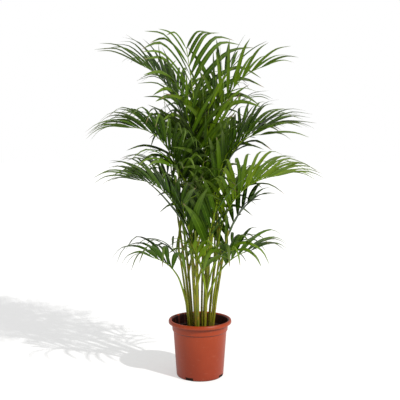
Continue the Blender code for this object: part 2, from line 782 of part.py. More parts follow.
def spear_choices(tip, taken):
    """The ways a spear may take from a free cane's top, with the cane it stands on."""
    def cost(index):
        top = cane_axis(index, CANE_HEIGHTS[index])
        return Vector((tip.x - top.x, tip.y - top.y)).length

    free = [index for index in range(CANE_COUNT) if index not in taken]
    for index in sorted(free, key=cost):
        top = cane_axis(index, CANE_HEIGHTS[index])
        grow = (top - cane_axis(index, CANE_HEIGHTS[index] - 0.02)).normalized()
        foot = top + grow * (GAP + 0.0004)
        aim = tip - foot
        across = Vector((-aim.y, aim.x, 0.0)).normalized()
        for sway in SPEAR_SWAYS:
            bend = foot + grow * aim.length * SHOULDER_PULL + across * sway
            yield index, bow(foot, bend, tip, SPEAR_STEPS)


def spear_skin(spots, radii):
    """A four-sided skin round a spear, wider than it by the least clearance."""
    rings = []
    for spot, radius in zip(spots, radii):
        aside = Vector((radius + CLEAR, 0.0, 0.0))
        ahead = Vector((0.0, radius + CLEAR, 0.0))
        rings.append((spot + aside, spot + ahead, spot - aside, spot - ahead))
    return rings


def make_spear(spear, taken, neighbours, group, material):
    """One folded leaf: a thin tapering rod from a cane's top to its point."""
    name, tip = spear[0], Vector(spear[1])
    shares = [step / SPEAR_STEPS for step in range(SPEAR_STEPS + 1)]
    radii = [SPEAR_RADIUS * (1 - SPEAR_TAPER * share) for share in shares]
    for index, spots in spear_choices(tip, taken):
        rings = spear_skin(spots, radii)
        if not neighbours.touches(*sleeve(rings[1:])):
            taken.append(index)
            neighbours.add(name, *sleeve(rings))
            return tube(name, spots, radii, group, material)
    print("no clear way found for", name)
    return None


def make_canes(group, neighbours):
    material = cane_material()
    canes = [make_cane(index, group, material) for index in range(CANE_COUNT)]
    bpy.context.view_layer.update()
    for cane in canes:
        neighbours.add_object(cane)


def make_fronds(group, neighbours):
    """All stalks find their way first, then each frond fills out with leaflets."""
    used = [0] * CANE_COUNT
    stalks = [place_stalk(row, used, neighbours) for row in FRONDS]
    material = frond_material()
    for seed, (row, stalk) in enumerate(zip(FRONDS, stalks)):
        if stalk is not None:
            make_frond(row, stalk, seed, neighbours, group, material)


def main():
    clear_scene()
    parts = new_collection(OBJECT_NAME)
    cutters = new_collection("cutters")
    pot = make_pot(parts, cutters)
    make_soil(parts, cutters)
    neighbours = Neighbours()
    make_canes(parts, neighbours)
    neighbours.add_object(pot)
    taken = []
    spears = spear_material()
    for spear in SPEARS:
        make_spear(spear, taken, neighbours, parts, spears)
    make_fronds(parts, neighbours)


main()
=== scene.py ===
# %% [markdown]
# # A feather palm in a nursery pot
# This lesson grows a young clump of golden cane palm round a fixed, plain model of the same plant.
# The plain model gives every place and size. The lesson gives each piece its fine shape and finish:
# leaflets, leaf stalks with their sheaths, canes, unopened spears, potting soil and the plastic pot.

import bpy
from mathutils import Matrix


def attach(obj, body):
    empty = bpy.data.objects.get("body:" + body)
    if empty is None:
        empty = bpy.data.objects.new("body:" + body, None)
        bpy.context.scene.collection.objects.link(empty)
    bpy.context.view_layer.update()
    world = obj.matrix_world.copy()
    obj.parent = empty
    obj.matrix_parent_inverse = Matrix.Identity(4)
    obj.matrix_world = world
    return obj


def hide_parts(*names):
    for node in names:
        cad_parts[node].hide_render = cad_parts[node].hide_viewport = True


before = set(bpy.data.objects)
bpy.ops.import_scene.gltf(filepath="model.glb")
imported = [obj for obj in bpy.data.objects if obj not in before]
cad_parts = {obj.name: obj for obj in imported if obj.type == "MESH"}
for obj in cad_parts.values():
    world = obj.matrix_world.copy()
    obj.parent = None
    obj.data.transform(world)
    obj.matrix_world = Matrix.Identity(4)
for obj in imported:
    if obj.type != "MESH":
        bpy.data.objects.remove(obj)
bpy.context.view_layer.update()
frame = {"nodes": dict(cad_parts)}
nodes = frame["nodes"]
print("plain model:", len(nodes), "nodes")

# %% Blender's own tools
import math
import random

import bmesh
import bpy
from mathutils import Vector, noise

# %% [markdown]
# ## Writing trees of nodes as sums
# A finish and a growing rule are both trees of nodes. Clicking them together one by one hides the
# idea, so two small helpers let them be written as sums. `Nodes` adds any node: its settings first,
# then the values or links of its sockets. `Field` is a number that varies over a shape, and a sum
# written on it adds the Math nodes.

# %% Helpers for trees
def set_stops(node, stops):
    """Fill a colour ramp or a float curve with its stops."""
    if node.bl_idname == "ShaderNodeValToRGB":
        points = node.color_ramp.elements
        while len(points) < len(stops):
            points.new(1.0)
        for point, (place, colour) in zip(points, stops):
            point.position = place
            point.color = colour
        return
    points = node.mapping.curves[0].points
    while len(points) < len(stops):
        points.new(0.5, 0.5)
    for point, stop in zip(points, stops):
        point.location = stop
    node.mapping.update()


class Nodes:
    """Adds nodes to one tree: settings first, then the values or links of the sockets."""

    def __init__(self, tree):
        self.tree = tree

    def add(self, kind, settings=None, values=None):
        node = self.tree.nodes.new(kind)
        for name, setting in (settings or {}).items():
            if name == "stops":
                set_stops(node, setting)
            else:
                setattr(node, name, setting)
        for name, value in (values or {}).items():
            self.give(node.inputs[name], value)
        return node

    def give(self, socket, value):
        if isinstance(value, Field):
            value = value.socket
        if isinstance(value, bpy.types.NodeSocket):
            self.tree.links.new(value, socket)
        else:
            socket.default_value = value

    def field(self, kind, settings=None, values=None, output=0):
        return Field(self, self.add(kind, settings, values).outputs[output])


class Field:
    """A number that varies over a shape. A sum written on it adds the Math nodes."""

    def __init__(self, nodes, socket):
        self.nodes = nodes
        self.socket = socket

    def sum(self, operation, *values):
        return self.nodes.field("ShaderNodeMath", {"operation": operation}, dict(enumerate(values)))

    def __add__(self, other):
        return self.sum("ADD", self, other)

    def __radd__(self, other):
        return self.sum("ADD", other, self)

    def __sub__(self, other):
        return self.sum("SUBTRACT", self, other)

    def __rsub__(self, other):
        return self.sum("SUBTRACT", other, self)

    def __mul__(self, other):
        return self.sum("MULTIPLY", self, other)

    def __rmul__(self, other):
        return self.sum("MULTIPLY", other, self)

    def __truediv__(self, other):
        return self.sum("DIVIDE", self, other)

    def wave(self):
        return self.sum("SINE", self)

    def size(self):
        return self.sum("ABSOLUTE", self)

    def part(self):
        """What is left after the whole number: a saw that repeats every 1."""
        return self.sum("FRACT", self)

    def rises(self, low, high):
        """0 below low, 1 above high, and a smooth rise between them."""
        limits = {"Value": self, "From Min": low, "From Max": high}
        return self.nodes.field("ShaderNodeMapRange", {"interpolation_type": "SMOOTHSTEP"}, limits)


print("helpers ready")

# %% [markdown]
# ## A finish
# Every finish here is one glossy or dull shader whose colour, roughness and small bumps change over
# the surface. What is the same all over is set on the shader's own sockets. `paint` turns the
# everyday 0 to 255 colours into the linear light values that the shader mixes.

# %% Helpers for finishes
def paint(red, green, blue):
    """A colour in everyday 0 to 255 steps as linear light."""
    def linear(step):
        share = step / 255
        return share / 12.92 if share < 0.04045 else ((share + 0.055) / 1.055) ** 2.4

    return (linear(red), linear(green), linear(blue), 1.0)


class Finish(Nodes):
    """The tree of one material."""

    def __init__(self, name, even=None):
        self.material = bpy.data.materials.new(name)
        self.material.use_nodes = True
        super().__init__(self.material.node_tree)
        self.shader = self.tree.nodes["Principled BSDF"]
        for socket, value in (even or {}).items():
            self.shader.inputs[socket].default_value = value

    def read(self, name):
        """A number stored on the piece's own mesh."""
        settings = {"attribute_type": "GEOMETRY", "attribute_name": name}
        return self.field("ShaderNodeAttribute", settings, output="Fac")

    def place(self, stretch=(1.0, 1.0, 1.0)):
        """Where a point lies on the piece, in metres, stretched along the axes."""
        here = self.add("ShaderNodeTexCoord").outputs["Object"]
        stretched = self.add("ShaderNodeVectorMath", {"operation": "MULTIPLY"}, {0: here, 1: stretch})
        return stretched.outputs["Vector"]

    def cloud(self, scale, detail=3.0, stretch=(1.0, 1.0, 1.0)):
        values = {"Vector": self.place(stretch), "Scale": scale, "Detail": detail}
        return self.field("ShaderNodeTexNoise", None, values, output="Fac")

    def height(self):
        """How high a point lies, in metres."""
        apart = self.add("ShaderNodeSeparateXYZ", None, {"Vector": self.place()})
        return Field(self, apart.outputs["Z"])

    def reach(self):
        """How far a point lies from the piece's upright middle line, in metres."""
        flat = self.place((1.0, 1.0, 0.0))
        return self.field("ShaderNodeVectorMath", {"operation": "LENGTH"}, {0: flat}, output="Value")

    def mix(self, mask, first, second):
        values = {0: mask, 6: first, 7: second}
        return self.add("ShaderNodeMix", {"data_type": "RGBA"}, values).outputs[2]

    def set(self, colour=None, roughness=None, bumps=None, depth=0.001):
        """Give the shader what varies. Bumps are 0 to 1, and depth is their height in metres."""
        if colour is not None:
            self.give(self.shader.inputs["Base Color"], colour)
        if roughness is not None:
            self.give(self.shader.inputs["Roughness"], roughness)
        if bumps is not None:
            bump = self.add("ShaderNodeBump", None, {"Height": bumps, "Distance": depth})
            self.give(self.shader.inputs["Normal"], bump.outputs["Normal"])
        print("finish:", self.material.name)
        return self.material


# %% [markdown]
# ## Camera, light and floor
# The plant stands on a plain white sweep in a soft white studio. One lamp, high on the right and in
# front, gives the leaves their bright sides and lays a pale shadow on the floor, behind and to the
# left. A sun lamp with a small angle does this simply: a shadow has a clear edge close to the pot
# and softens with the distance that it falls. The room is seen as pure white but lights the plant at
# about half that strength, and the floor glows a little, so that it stays as pale as the room.

# %% Camera
LENS = 66.2
CAMERA_PLACE = (0.0, -2.4, 0.82)
CAMERA_TILT = math.radians(84.45)
view = bpy.data.cameras.new("camera")
view.lens = LENS
view.sensor_width = 36.0
camera = bpy.data.objects.new("camera", view)
camera.location = CAMERA_PLACE
camera.rotation_euler = (CAMERA_TILT, 0.0, 0.0)
bpy.context.scene.collection.objects.link(camera)
bpy.context.scene.camera = camera

# %% Light
LAMP_TURN = math.radians(42.0)
LAMP_RISE = math.radians(37.0)
LAMP_SPREAD = math.radians(1.2)
LAMP_STRENGTH = 3.0
lamp_way = Vector((
    math.cos(LAMP_RISE) * math.cos(LAMP_TURN),
    -math.cos(LAMP_RISE) * math.sin(LAMP_TURN),
    math.sin(LAMP_RISE),
))
glow = bpy.data.lights.new("studio_box", "SUN")
glow.energy = LAMP_STRENGTH
glow.angle = LAMP_SPREAD
glow.color = (1.0, 0.985, 0.96)
lamp = bpy.data.objects.new("studio_box", glow)
lamp.rotation_euler = lamp_way.to_track_quat("Z", "Y").to_euler()
bpy.context.scene.collection.objects.link(lamp)

ROOM_GLOW = 0.55
room = bpy.data.worlds.new("white_room")
room.use_nodes = True
walls = Nodes(room.node_tree)
seen = walls.field("ShaderNodeLightPath", output="Is Camera Ray")
backdrop = room.node_tree.nodes["Background"]
backdrop.inputs["Color"].default_value = (1.0, 1.0, 1.0, 1.0)
walls.give(backdrop.inputs["Strength"], seen * (1.0 - ROOM_GLOW) + ROOM_GLOW)
bpy.context.scene.world = room
bpy.context.scene.view_settings.view_transform = "Standard"
print("lamp shines from", [round(part, 2) for part in lamp_way])

# %% Floor
SWEEP_GLOW = 0.42
SWEEP_HALF = 15.0
sweep = Finish("white_sweep", {
    "Roughness": 0.9,
    "Specular IOR Level": 0.1,
    "Emission Color": (1.0, 1.0, 1.0, 1.0),
    "Emission Strength": SWEEP_GLOW,
})
speck = sweep.cloud(40.0)
sweep.set(colour=sweep.mix(speck, paint(208, 208, 208), paint(212, 212, 212)))
floor_mesh = bpy.data.meshes.new("floor")
floor_shape = bmesh.new()
bmesh.ops.create_grid(floor_shape, x_segments=2, y_segments=2, size=SWEEP_HALF)
floor_shape.to_mesh(floor_mesh)
floor_shape.free()
floor_mesh.materials.append(sweep.material)
floor = bpy.data.objects.new("floor", floor_mesh)
bpy.context.scene.collection.objects.link(floor)

# %% [markdown]
# ## Reading the plain fronds
# A frond of this palm is a feather: one stalk runs on as the rib, and leaflets leave it in two rows.
# In the plain model each leaflet is a rod that grows from the rib through two three-cornered
# sections to a point. Those few corners are enough to lay a fine leaflet along the same way, so the
# fine plant keeps the plain one's places. The plain mesh is loose triangles, so a copy has its corners
# joined first, and then the pattern of neighbours tells the pieces apart: a tip has just three
# neighbours, all a long way off.

# %% Find the leaflets and the rings of a stalk
TIP_REACH = 0.008


def joined(name):
    """Corners of a node, and for each corner the ones beside it."""
    shape = bmesh.new()
    shape.from_mesh(nodes[name].data)
    bmesh.ops.remove_doubles(shape, verts=shape.verts, dist=0.00002)
    shape.verts.ensure_lookup_table()
    spots = [vert.co.copy() for vert in shape.verts]
    beside = [{edge.other_vert(vert).index for edge in vert.link_edges} for vert in shape.verts]
    shape.free()
    return spots, beside


def section(spots, corners):
    """Middle, upper side and half width of a three-cornered section, whose keel hangs below."""
    pairs = [(one, two) for one in corners for two in corners if one < two]
    one, two = max(pairs, key=lambda pair: (spots[pair[0]] - spots[pair[1]]).length)
    keel = next(corner for corner in corners if corner not in (one, two))
    middle = (spots[one] + spots[two]) / 2
    return middle, (middle - spots[keel]).normalized(), (spots[one] - spots[two]).length / 2


def around(corners, beside, but):
    """Every corner next to the given ones, leaving out those already passed."""
    return set().union(*(beside[corner] for corner in corners)) - corners - but


def plain_leaflets(spots, beside):
    """Each leaflet as foot, lower section, upper section and tip; and the corners they use."""
    found = []
    used = set()
    for tip, near in enumerate(beside):
        if len(near) != 3 or min((spots[tip] - spots[one]).length for one in near) < TIP_REACH:
            continue
        upper = set(near)
        lower = around(upper, beside, {tip})
        foot = around(lower, beside, upper)
        if len(lower) == 3 and len(foot) == 4:
            found.append((foot, lower, upper, tip))
            used |= lower | upper | {tip}
    return found, used


def rings_of(spots, beside, used, size):
    """Rings of corners up a stalk or a cane, from its lowest ring."""
    left = [corner for corner in range(len(spots)) if corner not in used]
    ring = set(sorted(left, key=lambda corner: spots[corner].z)[:size])
    passed = set(used)
    rings = []
    while ring:
        rings.append(ring)
        passed |= ring
        ring = around(ring, beside, passed)
    return rings


# %% [markdown]
# ## Guide lines
# A guide line is a chain of corners joined by edges, with a few numbers on each corner: how wide the
# piece is there, which way its width lies, and its shade. Guides are light to make, and the growing
# rule below turns each one into a solid piece.

# %% A set of guide lines
class Guides:
    """Lines to grow pieces along, with numbers stored on their corners."""

    def __init__(self):
        self.spots = []
        self.edges = []
        self.numbers = {"half": [], "stalk": [], "tone": [], "fresh": [], "dry": []}
        self.sides = []

    def add(self, spots, halves, ups, stalk, tone=0.5, fresh=0.5, dry=0.0):
        """One line. Its ups say which way its upper side faces."""
        first = len(self.spots)
        for step, (spot, half, up) in enumerate(zip(spots, halves, ups)):
            ahead = spots[min(step + 1, len(spots) - 1)] - spots[max(step - 1, 0)]
            self.sides.append(up.cross(ahead).normalized())
            self.spots.append(spot)
            values = {"half": half, "stalk": stalk, "tone": tone, "fresh": fresh, "dry": dry}
            for name, value in values.items():
                self.numbers[name].append(float(value))
        self.edges += [(first + step, first + step + 1) for step in range(len(spots) - 1)]

    def mesh_object(self, name):
        mesh = bpy.data.meshes.new(name)
        mesh.from_pydata(self.spots, self.edges, [])
        for label, values in self.numbers.items():
            mesh.attributes.new(label, "FLOAT", "POINT").data.foreach_set("value", values)
        flat = [part for side in self.sides for part in side]
        mesh.attributes.new("side_way", "FLOAT_VECTOR", "POINT").data.foreach_set("vector", flat)
        item = bpy.data.objects.new(name, mesh)
        bpy.context.scene.collection.objects.link(item)
        return item


# %% [markdown]
# ## The growing rule
# Leaflets and stalks both follow lines, so one tree of Geometry Nodes grows a whole frond. The guides
# are parted into leaflets and stalk. Each becomes a smooth curve, cut into even steps. A leaflet is
# swept with a thin roof-shaped section, because this palm's leaflets are folded with the ridge up,
# and its width follows a curve: narrow at the foot, widest near a third and then a long taper. The
# stalk is swept with a round section whose size comes from the guide.

# %% Helpers for growing rules
def new_rule(name, inputs):
    """An empty tree with named inputs, its group input node and its node adder."""
    tree = bpy.data.node_groups.new(name, "GeometryNodeTree")
    tree.interface.new_socket(name="Guides", in_out="INPUT", socket_type="NodeSocketGeometry")
    for label, kind in inputs.items():
        tree.interface.new_socket(name=label, in_out="INPUT", socket_type="NodeSocket" + kind)
    tree.interface.new_socket(name="Piece", in_out="OUTPUT", socket_type="NodeSocketGeometry")
    nodes_of = Nodes(tree)
    return tree, nodes_of, nodes_of.add("NodeGroupInput").outputs


def end_rule(rule, geometry):
    """Close a tree: make every instance real and hand the piece out."""
    real = rule.add("GeometryNodeRealizeInstances", None, {"Geometry": geometry})
    rule.add("NodeGroupOutput", None, {"Piece": real.outputs[0]})


def stored(rule, geometry, name, value, domain="POINT"):
    settings = {"data_type": "FLOAT", "domain": domain}
    values = {"Geometry": geometry, "Name": name, "Value": value}
    return rule.add("GeometryNodeStoreNamedAttribute", settings, values).outputs[0]


def kept(rule, name, kind="FLOAT"):
    """A number that was stored on the guides."""
    return rule.add("GeometryNodeInputNamedAttribute", {"data_type": kind}, {"Name": name}).outputs[0]


def smooth_line(rule, mesh, count):
    """Chains of edges as smooth curves of evenly spaced points, with their way up kept."""
    curve = rule.add("GeometryNodeMeshToCurve", None, {"Mesh": mesh}).outputs[0]
    smooth = rule.add("GeometryNodeCurveSplineType", {"spline_type": "CATMULL_ROM"}, {"Curve": curve})
    values = {"Curve": smooth.outputs[0], "Count": count}
    even = rule.add("GeometryNodeResampleCurve", {"mode": "COUNT"}, values)
    values = {"Curve": even.outputs[0], "Normal": kept(rule, "side_way", "FLOAT_VECTOR")}
    line = rule.add("GeometryNodeSetCurveNormal", {"mode": "FREE"}, values).outputs[0]
    along = rule.add("GeometryNodeSplineParameter").outputs["Factor"]
    return stored(rule, line, "along", along), Field(rule, along)


def round_section(rule, sides):
    """A circle of radius 1 m, to be scaled along a line."""
    values = {"Resolution": sides, "Radius": 1.0}
    return rule.add("GeometryNodeCurvePrimitiveCircle", None, values).outputs[0]


def swept(rule, line, profile, scale):
    """The profile swept along the line, closed at both ends."""
    values = {"Curve": line, "Profile Curve": profile, "Scale": scale, "Fill Caps": True}
    return rule.add("GeometryNodeCurveToMesh", None, values).outputs[0]


def grown(name, guides, rule, sizes):
    """A plain mesh object grown from guides by a rule with these sizes."""
    modifier = guides.modifiers.new("grow", "NODES")
    modifier.node_group = rule
    for item in rule.interface.items_tree:
        if item.in_out == "INPUT" and item.name in sizes:
            modifier[item.identifier] = sizes[item.name]
    graph = bpy.context.evaluated_depsgraph_get()
    mesh = bpy.data.meshes.new_from_object(guides.evaluated_get(graph), depsgraph=graph)
    mesh.name = name
    guides.modifiers.remove(modifier)
    bpy.data.objects.remove(guides)
    piece = bpy.data.objects.new(name, mesh)
    bpy.context.scene.collection.objects.link(piece)
    return piece


# %% The rule for a frond
BLADE_WIDTHS = ((0.0, 0.20), (0.10, 0.58), (0.30, 1.0), (0.55, 0.90), (0.80, 0.52), (1.0, 0.03))
CREASE = math.radians(24.0)


def frond_rule():
    inputs = {
        "Leaflet steps": "Int",
        "Stalk steps": "Int",
        "Stalk sides": "Int",
        "Fold": "Float",
        "Thickness": "Float",
        "Leaf finish": "Material",
        "Stalk finish": "Material",
    }
    tree, rule, given = new_rule("feather_frond", inputs)
    parts = rule.add(
        "GeometryNodeSeparateGeometry",
        {"domain": "POINT"},
        {"Geometry": given["Guides"], "Selection": kept(rule, "stalk")},
    )
    fold = Field(rule, given["Fold"])
    thickness = Field(rule, given["Thickness"])
    corners = {}
    for corner, (across, rise) in enumerate((
        (-1.0, fold * -1.0),
        (0.0, 0.0),
        (1.0, fold * -1.0),
        (0.0, thickness * -1.0),
    )):
        spot = rule.add("ShaderNodeCombineXYZ", None, {"X": across, "Y": rise})
        corners["Point %d" % (corner + 1)] = spot.outputs[0]
    roof = rule.add("GeometryNodeCurvePrimitiveQuadrilateral", {"mode": "POINTS"}, corners).outputs[0]
    place = rule.add("GeometryNodeInputPosition").outputs[0]
    across = rule.add("ShaderNodeSeparateXYZ", None, {"Vector": place}).outputs["X"]
    roof = stored(rule, roof, "across", across)
    line, along = smooth_line(rule, parts.outputs["Inverted"], given["Leaflet steps"])
    width = rule.field("ShaderNodeFloatCurve", {"stops": BLADE_WIDTHS}, {"Value": along})
    blades = swept(rule, line, roof, width * kept(rule, "half"))
    angle = rule.field("GeometryNodeInputMeshEdgeAngle", output="Unsigned Angle")
    crease = angle.sum("GREATER_THAN", angle, CREASE)
    values = {"Geometry": blades, "Selection": crease, "Shade Smooth": False}
    blades = rule.add("GeometryNodeSetShadeSmooth", {"domain": "EDGE"}, values).outputs[0]
    values = {"Geometry": blades, "Material": given["Leaf finish"]}
    blades = rule.add("GeometryNodeSetMaterial", None, values).outputs[0]
    ring = round_section(rule, given["Stalk sides"])
    line, _ = smooth_line(rule, parts.outputs["Selection"], given["Stalk steps"])
    stalk = swept(rule, line, ring, kept(rule, "half"))
    values = {"Geometry": stalk, "Material": given["Stalk finish"]}
    stalk = rule.add("GeometryNodeSetMaterial", None, values).outputs[0]
    both = rule.add("GeometryNodeJoinGeometry")
    rule.tree.links.new(blades, both.inputs[0])
    rule.tree.links.new(stalk, both.inputs[0])
    end_rule(rule, both.outputs[0])
    return tree


feather = frond_rule()
print("growing rule:", feather.name, len(feather.nodes), "nodes")

# %% [markdown]
# ## The green of a leaflet
# Leaflets are dark, satin green with a paler ridge, and each is a little different: older ones are
# darker, young ones yellower. Fine veins run along them, and many end in a thin, dry, brown point.
# The numbers stored on each leaflet drive this, so the pattern follows the leaflet however it bends.
# Leaves in the crowded heart of the plant are painted darker, as painted shade, and a grey-green painted
# sheen grows towards the leaflet tips and the plant's outer ends. The painted shade follows how far a point
# lies from the plant's upright middle line; the painted sheen follows that and how far along the leaflet a
# point lies.

# %% Leaf finish
def leaf_finish():
    leaf = Finish("palm_leaf", {"Specular IOR Level": 0.13})
    along = leaf.read("along")
    across = leaf.read("across")
    tone = leaf.read("tone")
    fresh = leaf.read("fresh")
    mottle = leaf.cloud(60.0, 2.0)
    old = leaf.mix(tone, paint(16, 40, 0), paint(58, 92, 4))
    young = leaf.mix(tone, paint(78, 112, 6), paint(122, 150, 14))
    green = leaf.mix(fresh + (mottle - 0.5) * 0.3, old, young)
    # Painted shade: leaves close to the plant's middle line are darkened, as shade in the crowded heart.
    painted_heart_shade = 1 - leaf.reach().rises(0.02, 0.15)
    green = leaf.mix(painted_heart_shade * 0.45, green, paint(14, 30, 2))
    ridge = 1 - across.size().rises(0.02, 0.16)
    green = leaf.mix(ridge * 0.40, green, paint(116, 150, 40))
    # Painted sheen: a grey-green paling towards the leaflet tips and the plant's outer ends.
    painted_sheen = along.rises(0.35, 1.0) * 0.25 + leaf.reach().rises(0.16, 0.36) * 0.30
    green = leaf.mix(painted_sheen, green, paint(124, 136, 78))
    dry_start = 1.0 - leaf.read("dry")
    dry = (along - dry_start).rises(0.0, 0.05)
    colour = leaf.mix(dry, green, paint(128, 112, 84))
    veins = ((across * 46.0).wave() * 0.5 + 0.5) * 0.6 + mottle * 0.4
    roughness = 0.34 + mottle * 0.14 + dry * 0.25
    return leaf.set(colour=colour, roughness=roughness, bumps=veins, depth=0.00012)


leaf_material = leaf_finish()

# %% [markdown]
# ## The yellow of a stalk
# This palm is named for its stalks. The rib is bright yellow-green, and the sheath where the stalk
# wraps its cane is waxy and duller, with orange-brown flecks and fine lines along it.

# %% Stalk finish
def stalk_finish():
    stalk = Finish("palm_stalk", {"Specular IOR Level": 0.25})
    along = stalk.read("along")
    tone = stalk.read("tone")
    lines = stalk.cloud(90.0, 3.0, stretch=(1.0, 1.0, 0.08))
    fleck = stalk.cloud(170.0, 2.0, stretch=(1.0, 1.0, 0.45)).rises(0.62, 0.72)
    foot = stalk.mix(lines, paint(84, 92, 8), paint(138, 144, 30))
    rib = stalk.mix(tone, paint(84, 112, 6), paint(132, 156, 24))
    colour = stalk.mix(along.rises(0.12, 0.40), foot, rib)
    rust = fleck * (1 - along.rises(0.05, 0.45))
    colour = stalk.mix(rust * 0.8, colour, paint(142, 92, 44))
    return stalk.set(colour=colour, roughness=0.38 + lines * 0.2, bumps=lines, depth=0.0003)


stalk_material = stalk_finish()

# %% [markdown]
# ## Canes
# A cane is a slim stem marked by rings where old leaves fell away, and mostly wrapped in old sheaths.
# The plain cane gives the way and the size. A second rule sweeps a round section along it and lets
# the section swell a little at every ring, which a plain tube can't show.

# %% Read the canes
CANE_SIDES = 8


def plain_cane(name):
    """Middles and half widths of a cane's rings, from the soil up."""
    spots, beside = joined(name)
    rings = rings_of(spots, beside, set(), CANE_SIDES)
    middles = [sum((spots[corner] for corner in ring), Vector()) / len(ring) for ring in rings]
    halves = [
        max((spots[corner] - middle).length for corner in ring)
        for ring, middle in zip(rings, middles)
    ]
    return middles, halves


cane_names = sorted(name for name in nodes if name.startswith("cane_"))
canes = {name: plain_cane(name) for name in cane_names}
print(len(canes), "canes, the tallest to", round(max(middles[-1].z for middles, _ in canes.values()), 3), "m")


def cane_at(name, height):
    """Middle and half width of a cane at a height."""
    middles, halves = canes[name]
    for step in range(len(middles) - 1):
        low, high = middles[step], middles[step + 1]
        if height <= high.z or step == len(middles) - 2:
            share = (height - low.z) / (high.z - low.z)
            return low.lerp(high, share), halves[step] + (halves[step + 1] - halves[step]) * share


# %% The rule for a cane
def cane_rule():
    inputs = {
        "Steps": "Int",
        "Sides": "Int",
        "Ring spacing": "Float",
        "Ring swell": "Float",
        "Finish": "Material",
    }
    tree, rule, given = new_rule("ringed_cane", inputs)
    line, along = smooth_line(rule, given["Guides"], given["Steps"])
    length = rule.field("GeometryNodeSplineParameter", output="Length")
    turn = (length / given["Ring spacing"] + Field(rule, kept(rule, "tone"))).part()
    scar = 1 - (turn - 0.5).size().rises(0.0, 0.06)
    line = stored(rule, line, "scar", scar)
    swell = scar * given["Ring swell"] + 1
    ring = round_section(rule, given["Sides"])
    cane = swept(rule, line, ring, swell * kept(rule, "half"))
    values = {"Geometry": cane, "Material": given["Finish"]}
    end_rule(rule, rule.add("GeometryNodeSetMaterial", None, values).outputs[0])
    return tree


def cane_finish():
    cane = Finish("cane", {"Specular IOR Level": 0.28})
    height = cane.height()
    fibres = cane.cloud(120.0, 4.0, stretch=(1.0, 1.0, 0.06))
    patches = cane.cloud(22.0, 2.0, stretch=(1.0, 1.0, 0.4))
    fleck = cane.cloud(150.0, 2.0, stretch=(1.0, 1.0, 0.5)).rises(0.60, 0.70)
    low = cane.mix(fibres, paint(64, 68, 4), paint(150, 146, 24))
    high = cane.mix(fibres, paint(62, 76, 4), paint(146, 154, 28))
    colour = cane.mix(height.rises(0.16, 0.40), low, high)
    colour = cane.mix(patches.rises(0.5, 0.75) * 0.6, colour, paint(84, 102, 36))
    colour = cane.mix(fleck * 0.75, colour, paint(150, 100, 46))
    colour = cane.mix(cane.read("scar") * 0.55, colour, paint(120, 92, 52))
    colour = cane.mix((1 - height.rises(0.150, 0.185)) * 0.6, colour, paint(92, 70, 38))
    return cane.set(colour=colour, roughness=0.40 + fibres * 0.2, bumps=fibres, depth=0.0004)


ringed = cane_rule()
cane_material = cane_finish()

# %% Grow the canes
CANE_TAPER = 0.012
CANE_TOP_SHARE = 0.45
CANE_SLIM = (0.70, 0.98)
cane_sizes = {"Steps": 110, "Sides": 12, "Ring spacing": 0.052, "Ring swell": 0.10, "Finish": cane_material}
flat_y = Vector((0.0, 1.0, 0.0))
for number, (name, (middles, halves)) in enumerate(canes.items()):
    dice = random.Random(100 + number)
    top = middles[-1]
    neck = middles[-1].lerp(middles[-2], CANE_TAPER / (middles[-1] - middles[-2]).length)
    spots = [*middles[:-1], neck, top]
    slim = dice.uniform(*CANE_SLIM)
    sizes = [half * slim for half in (*halves[:-1], halves[-1], halves[-1] * CANE_TOP_SHARE)]
    guides = Guides()
    guides.add(spots, sizes, [flat_y] * len(spots), stalk=1, tone=dice.random())
    piece = grown(name + "_fine", guides.mesh_object("guides"), ringed, cane_sizes)
    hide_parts(name)
    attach(piece, "root")
print("canes grown:", len(canes), "with", len(piece.data.polygons), "faces each")

# %% [markdown]
# ## Fronds
# Now the leaflets. The plain model has room for only some of them. On the fronds named as close
# below, a new leaflet is laid between each two neighbours on the same side, halfway in every measure
# and a little loose, and all are slimmer. That gives the close feather of the real plant. The other
# fronds keep the plain count, and some of them have broader blades. The stalk's line starts lower
# down, inside its cane, so that its foot spreads into a sheath that wraps the cane.

# %% Guides of one frond
BLADE_SHARE = 0.96
BROAD_SHARE = 1.25
CLOSE_SHARE = 0.74
BROAD_FRONDS = (
    "frond_top_front",
    "frond_mid_front",
    "frond_mid_side_front",
    "frond_mid_inner_left",
    "frond_low_left_front",
    "frond_low_right_front",
    "frond_low_left_mid",
    "frond_low_right_mid",
    "frond_base_front",
    "frond_base_side_front",
)
CLOSE_FRONDS = (
    "frond_top_left",
    "frond_top_back",
    "frond_mid_back",
    "frond_mid_left",
    "frond_mid_right",
    "frond_low_left",
    "frond_low_right",
)
FRESHNESS = {"top": 0.22, "mid": 0.10, "low": 0.10, "base": 0.12}
FRESH_FRONDS = {
    "frond_low_right": 0.85,
    "frond_top_right": 0.60,
    "frond_top_centre": 0.45,
    "frond_base_side_front": 0.35,
    "frond_base_front": 0.45,
}
SHEATH_DEPTHS = (0.050, 0.016)
SHEATH_SHARES = (0.92, 1.06)
LOOSENESS = ((1, 0.02), (2, 0.05), (3, 0.09))


def width_share(name):
    """How wide a frond's fine leaflets are, as a share of the plain ones."""
    if name in CLOSE_FRONDS:
        return CLOSE_SHARE
    return BROAD_SHARE if name in BROAD_FRONDS else BLADE_SHARE


def leaflet_line(spots, parts, middles):
    """A plain leaflet as spots and upper sides, and how far along the rib it starts."""
    foot, lower, upper, tip = parts
    start = sum((spots[corner] for corner in foot), Vector()) / len(foot)
    low, low_up, half = section(spots, lower)
    high, high_up, _ = section(spots, upper)
    step = min(range(len(middles)), key=lambda i: (middles[i] - start).length)
    return [start, low, high, spots[tip]], [low_up, low_up, high_up, high_up], half, step


